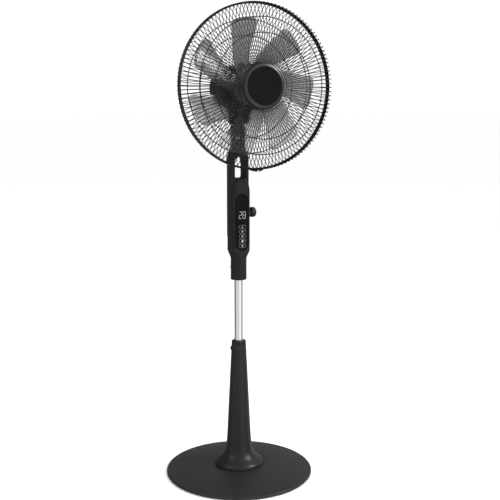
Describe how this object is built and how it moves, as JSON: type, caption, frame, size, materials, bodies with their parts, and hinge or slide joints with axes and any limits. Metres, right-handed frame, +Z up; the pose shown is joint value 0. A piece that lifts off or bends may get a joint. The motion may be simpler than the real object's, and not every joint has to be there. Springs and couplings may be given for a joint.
{
  "type": "pedestal fan",
  "caption": "Pedestal fan on a round base: telescopic pole, push-button control neck, tilting and swinging motor head, smoke-grey blades inside a wire guard.",
  "frame": {"origin": "on the floor under the pole, at the centre of the round base", "axes": "+Z up along the pole; the fan faces and blows towards -Y; +X is to the right of a person who faces the fan's front"},
  "size_m": [0.4299, 0.416, 1.3037],
  "materials": {
    "base_plastic": "satin moulded plastic, fine texture",
    "ballast_steel": "painted steel plate",
    "foot_rubber": "matte rubber",
    "zinc": "zinc plated",
    "column_plastic": "satin moulded plastic",
    "guide_steel": "bare steel tube",
    "collar_plastic": "satin moulded plastic",
    "button_black": "satin moulded plastic",
    "pole_chrome": "polished chrome plate",
    "nylon": "natural nylon",
    "neck_plastic": "satin moulded plastic",
    "panel_gloss": "gloss black",
    "display_white": "lit segments behind a dark window",
    "board_green": "solder mask",
    "key_gloss": "gloss black with a grey outline",
    "knob_plastic": "satin moulded plastic",
    "nut_brass": "bare brass",
    "bracket_plastic": "satin glass-filled plastic",
    "housing_plastic": "satin moulded plastic",
    "motor_steel": "laminated steel",
    "copper": "enamelled copper wire",
    "bronze": "sintered bronze",
    "shield_alloy": "die cast",
    "capacitor_case": "moulded case",
    "wire_black": "gloss black powder coat",
    "nut_plastic": "satin moulded plastic",
    "cap_plastic": "satin moulded plastic",
    "band_plastic": "satin moulded plastic",
    "blade_smoke": "clear smoke-grey plastic"
  },
  "bodies": {
    "stand": {"base_cover": "base_plastic", "ballast_plate": "ballast_steel", "base_feet": "foot_rubber", "base_screws": "zinc", "column": "column_plastic", "column_tube": "guide_steel", "column_collar": "collar_plastic"},
    "height_button": {"height_button": "button_black"},
    "mast": {"pole": "pole_chrome", "pole_glide": "nylon", "neck_front": "neck_plastic", "neck_rear": "neck_plastic", "neck_fork": "neck_plastic", "neck_screws": "zinc", "socket_screw": "button_black", "cord_gland": "foot_rubber", "control_panel": "panel_gloss", "display": "display_white", "control_board": "board_green", "key_switches": "zinc", "clamp_nut": "nut_brass", "tilt_pin": "zinc", "tilt_nut": "zinc", "friction_washers": "zinc"},
    "power_key": {"button_power": "key_gloss"},
    "speed_key": {"button_speed": "key_gloss"},
    "mode_key": {"button_mode": "key_gloss"},
    "swing_key": {"button_swing": "key_gloss"},
    "timer_key": {"button_timer": "key_gloss"},
    "washer": {"clamp_washer": "zinc"},
    "knob": {"clamp_knob": "knob_plastic"},
    "bracket": {"tilt_bracket": "bracket_plastic", "swivel_post": "guide_steel", "swing_gear": "nylon", "post_nut": "zinc"},
    "head": {"swivel_base": "housing_plastic", "swing_motor": "zinc", "motor_housing": "housing_plastic", "rear_cover": "housing_plastic", "motor_bolts": "zinc", "stator_core": "motor_steel", "stator_windings": "copper", "front_bearing": "bronze", "rear_bearing": "bronze", "end_shield": "shield_alloy", "motor_capacitor": "capacitor_case", "rear_grille": "wire_black", "grille_nut": "nut_plastic", "front_grille": "wire_black", "guard_cap": "cap_plastic", "rim_band": "band_plastic", "rim_clip": "band_plastic", "clip_screw": "zinc"},
    "pinion": {"swing_pinion": "nylon"},
    "rotor": {"motor_shaft": "guide_steel", "rotor_core": "motor_steel", "fan_blades": "blade_smoke", "spinner_nut": "nut_plastic"}
  },
  "joints": [
    {"name": "height_slide", "type": "slide", "parent": "stand", "child": "mast", "axis": [0, 0, 1], "range_m": [-0.17, 0]},
    {"name": "height_button_press", "type": "slide", "parent": "stand", "child": "height_button", "axis": [1, 0, 0], "range_m": [0, 0.003], "stiffness_N_per_m": 600, "springref_m": -0.002},
    {"name": "power_key_press", "type": "slide", "parent": "mast", "child": "power_key", "axis": [0, 1, 0], "range_m": [0, 0.0008], "stiffness_N_per_m": 1200, "springref_m": -0.0004},
    {"name": "speed_key_press", "type": "slide", "parent": "mast", "child": "speed_key", "axis": [0, 1, 0], "range_m": [0, 0.0008], "stiffness_N_per_m": 1200, "springref_m": -0.0004},
    {"name": "mode_key_press", "type": "slide", "parent": "mast", "child": "mode_key", "axis": [0, 1, 0], "range_m": [0, 0.0008], "stiffness_N_per_m": 1200, "springref_m": -0.0004},
    {"name": "swing_key_press", "type": "slide", "parent": "mast", "child": "swing_key", "axis": [0, 1, 0], "range_m": [0, 0.0008], "stiffness_N_per_m": 1200, "springref_m": -0.0004},
    {"name": "timer_key_press", "type": "slide", "parent": "mast", "child": "timer_key", "axis": [0, 1, 0], "range_m": [0, 0.0008], "stiffness_N_per_m": 1200, "springref_m": -0.0004},
    {"name": "clamp_travel", "type": "slide", "parent": "mast", "child": "washer", "axis": [1, 0, 0], "range_m": [0, 0.0021]},
    {"name": "clamp_turn", "type": "hinge", "parent": "washer", "child": "knob", "pos_m": [0.04, 0, 0.749], "axis": [1, 0, 0], "range_deg": [0, 720]},
    {"name": "tilt", "type": "hinge", "parent": "mast", "child": "bracket", "pos_m": [0, 0.004, 0.972], "axis": [-1, 0, 0], "range_deg": [-10, 20]},
    {"name": "swing", "type": "hinge", "parent": "bracket", "child": "head", "pos_m": [0, -0.004, 1.01], "axis": [0, 0, 1], "range_deg": [-42.5, 42.5]},
    {"name": "swing_pinion_turn", "type": "hinge", "parent": "head", "child": "pinion", "pos_m": [0, 0.014, 1.015], "axis": [0, 0, 1], "range_deg": [-86, 86]},
    {"name": "rotor_spin", "type": "hinge", "parent": "head", "child": "rotor", "pos_m": [0, -0.08, 1.0887], "axis": [0, -1, 0], "continuous": true}
  ],
  "couplings": [
    {"joint": "clamp_travel", "follows": "clamp_turn", "m_per_rad": 0.00015915},
    {"joint": "swing_pinion_turn", "follows": "swing", "ratio": 2}
  ]
}
